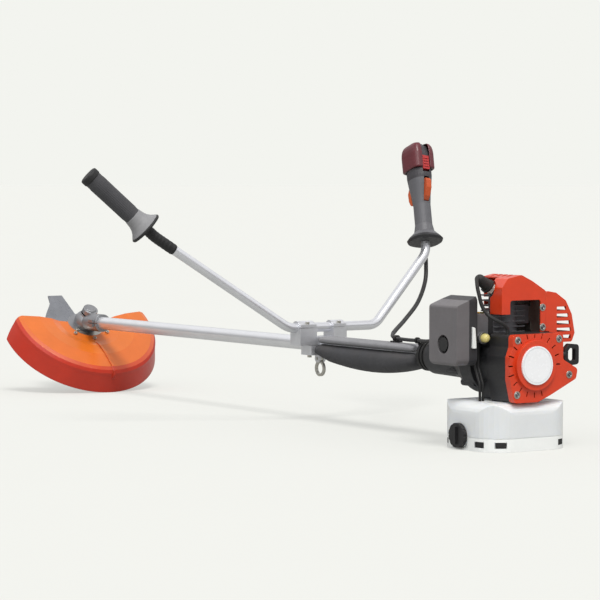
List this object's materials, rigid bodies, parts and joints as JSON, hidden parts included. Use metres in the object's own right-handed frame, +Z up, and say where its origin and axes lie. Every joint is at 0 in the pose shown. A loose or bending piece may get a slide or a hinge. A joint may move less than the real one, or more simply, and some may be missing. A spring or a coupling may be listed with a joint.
{
  "type": "brush mower",
  "caption": "Petrol brush mower: engine on a tank stand, shaft tube with bicycle handlebar and hip pad, bevel gear head, toothed grass blade and moulded guard.",
  "frame": {"origin": "centre of the stand's flat base face, on the floor under the engine", "axes": "+X rearwards along the shaft tube from the blade to the starter, +Y to the operator's right, +Z up"},
  "size_m": [1.804, 0.8347, 0.5591],
  "materials": {
    "orange_plastic": "semi-gloss moulded plastic",
    "guard_plastic": "semi-gloss moulded plastic",
    "trigger_orange": "satin moulded plastic",
    "cover_grey": "fine-grained moulded plastic",
    "dark_plastic": "fine-grained moulded plastic",
    "black_plastic": "matt moulded plastic",
    "black_rubber": "matt rubber",
    "grip_rubber": "ribbed soft grip",
    "pad_foam": "moulded foam",
    "white_plastic": "satin moulded plastic",
    "tank_plastic": "translucent blow-moulded plastic",
    "red_plastic": "gloss moulded plastic",
    "lock_plastic": "satin moulded plastic",
    "bulb_rubber": "translucent rubber",
    "filter_foam": "open foam",
    "plug_ceramic": "glazed ceramic",
    "cast_alloy": "as-cast, bead blasted",
    "painted_alloy": "dark powder coat on cast alloy",
    "tube_alloy": "polished and anodised",
    "bracket_alloy": "tumbled die casting",
    "blade_steel": "ground steel",
    "zinc_steel": "zinc plated",
    "dark_steel": "machined and oiled",
    "muffler_steel": "heat-stained sheet steel"
  },
  "bodies": {
    "main": {"crankcase": "cast_alloy", "fan_housing": "dark_plastic", "ball_bearings": "dark_steel", "finned_cylinder": "cast_alloy", "spark_plug": "plug_ceramic", "plug_boot": "black_rubber", "ignition_coil": "black_plastic", "cylinder_cover": "orange_plastic", "starter_housing": "orange_plastic", "starter_badge": "white_plastic", "recoil_spring": "dark_steel", "muffler": "muffler_steel", "muffler_guard": "orange_plastic", "carburettor": "cast_alloy", "inlet_block": "black_plastic", "filter_base": "dark_plastic", "filter_element": "filter_foam", "fuel_tank": "tank_plastic", "stand": "white_plastic", "fuel_lines": "black_rubber", "clutch_housing": "painted_alloy", "av_sleeve": "black_rubber", "shaft_tube": "tube_alloy", "tube_bushes": "black_plastic", "hip_pad": "pad_foam", "cable_clips": "black_rubber", "throttle_hose": "black_rubber", "bracket_base": "bracket_alloy", "bracket_caps": "bracket_alloy", "screws": "zinc_steel", "gearcase": "cast_alloy", "guard_bracket": "zinc_steel", "guard": "guard_plastic"},
    "crank": {"crankshaft": "dark_steel", "flywheel": "cast_alloy", "clutch_shoes": "dark_steel", "starter_cup": "dark_steel"},
    "drive": {"clutch_drum": "dark_steel", "drive_shaft": "dark_steel", "bevel_pinion": "dark_steel"},
    "arbor": {"arbor_shaft": "dark_steel", "bevel_gear": "dark_steel", "drive_disc": "zinc_steel", "blade": "blade_steel", "blade_clamp": "zinc_steel"},
    "pulley": {"starter_pulley": "dark_plastic"},
    "pull_handle": {"starter_handle": "black_plastic"},
    "handlebar": {"handlebar_tube": "tube_alloy", "left_grip": "grip_rubber", "throttle_housing": "dark_plastic"},
    "trigger": {"throttle_trigger": "trigger_orange"},
    "lockout": {"trigger_lockout": "lock_plastic"},
    "switch": {"stop_switch": "red_plastic"},
    "throttle_lever": {"carb_lever": "zinc_steel"},
    "choke": {"choke_lever": "white_plastic"},
    "primer": {"primer_bulb": "bulb_rubber"},
    "cap": {"fuel_cap": "black_plastic"},
    "cover": {"filter_cover": "cover_grey"},
    "knob": {"filter_knob": "black_plastic"},
    "ring": {"harness_ring": "zinc_steel"}
  },
  "joints": [
    {"name": "crank_spin", "type": "hinge", "parent": "main", "child": "crank", "pos_m": [0, 0, 0.155], "axis": [1, 0, 0], "continuous": true},
    {"name": "arbor_spin", "type": "hinge", "parent": "main", "child": "arbor", "pos_m": [-1.56, 0, 0.155], "axis": [0.6157, 0, 0.788], "continuous": true},
    {"name": "drive_spin", "type": "hinge", "parent": "main", "child": "drive", "pos_m": [-1, 0, 0.155], "axis": [1, 0, 0], "continuous": true},
    {"name": "starter_pull", "type": "slide", "parent": "main", "child": "pull_handle", "axis": [0, 1, 0], "range_m": [0, 0.75], "stiffness_N_per_m": 15, "springref_m": -0.1},
    {"name": "pulley_spin", "type": "hinge", "parent": "main", "child": "pulley", "pos_m": [0.067, 0, 0.155], "axis": [-1, 0, 0], "range_deg": [0, 1660]},
    {"name": "handlebar_tilt", "type": "hinge", "parent": "main", "child": "handlebar", "pos_m": [-0.602, 0, 0.19], "axis": [0, 1, 0], "range_deg": [-25, 30], "deforming": ["throttle_hose"]},
    {"name": "trigger_pull", "type": "hinge", "parent": "handlebar", "child": "trigger", "pos_m": [-0.71419, 0.32188, 0.46899], "axis": [-0.0476, -0.9903, 0.1308], "range_deg": [0, 22], "stiffness_Nm_per_rad": 0.35, "springref_deg": -14.32},
    {"name": "lockout_press", "type": "hinge", "parent": "handlebar", "child": "lockout", "pos_m": [-0.682, 0.31714, 0.44488], "axis": [-0.0476, -0.9903, 0.1308], "range_deg": [0, 12], "stiffness_Nm_per_rad": 0.35, "springref_deg": -11.46},
    {"name": "switch_slide", "type": "slide", "parent": "handlebar", "child": "switch", "axis": [0.3387, -0.1392, -0.9305], "range_m": [0, 0.005]},
    {"name": "carb_throttle", "type": "hinge", "parent": "main", "child": "throttle_lever", "pos_m": [-0.008, -0.0615, 0.226], "axis": [0, 0, 1], "range_deg": [0, 75]},
    {"name": "choke_turn", "type": "hinge", "parent": "main", "child": "choke", "pos_m": [0.013, -0.083, 0.189], "axis": [1, 0, 0], "range_deg": [0, 75]},
    {"name": "primer_press", "type": "slide", "parent": "main", "child": "primer", "axis": [-1, 0, 0], "range_m": [0, 0.004], "stiffness_N_per_m": 400, "springref_m": -0.002},
    {"name": "fuel_cap_off", "type": "slide", "parent": "main", "child": "cap", "axis": [0, -1, 0], "range_m": [0, 0.03]},
    {"name": "filter_cover_off", "type": "slide", "parent": "main", "child": "cover", "axis": [0, -1, 0], "range_m": [0, 0.06]},
    {"name": "filter_knob_turn", "type": "hinge", "parent": "cover", "child": "knob", "pos_m": [-0.029, -0.12, 0.191], "axis": [0, -1, 0], "range_deg": [0, 1080]},
    {"name": "ring_swing", "type": "hinge", "parent": "main", "child": "ring", "pos_m": [-0.602, 0, 0.127], "axis": [0, 1, 0], "range_deg": [-60, 60]}
  ],
  "couplings": [
    {"joint": "drive_spin", "follows": "arbor_spin", "ratio": -1.4615},
    {"joint": "pulley_spin", "follows": "starter_pull", "rad_per_m": 38.462},
    {"joint": "carb_throttle", "follows": "trigger_pull", "ratio": 3.4}
  ]
}
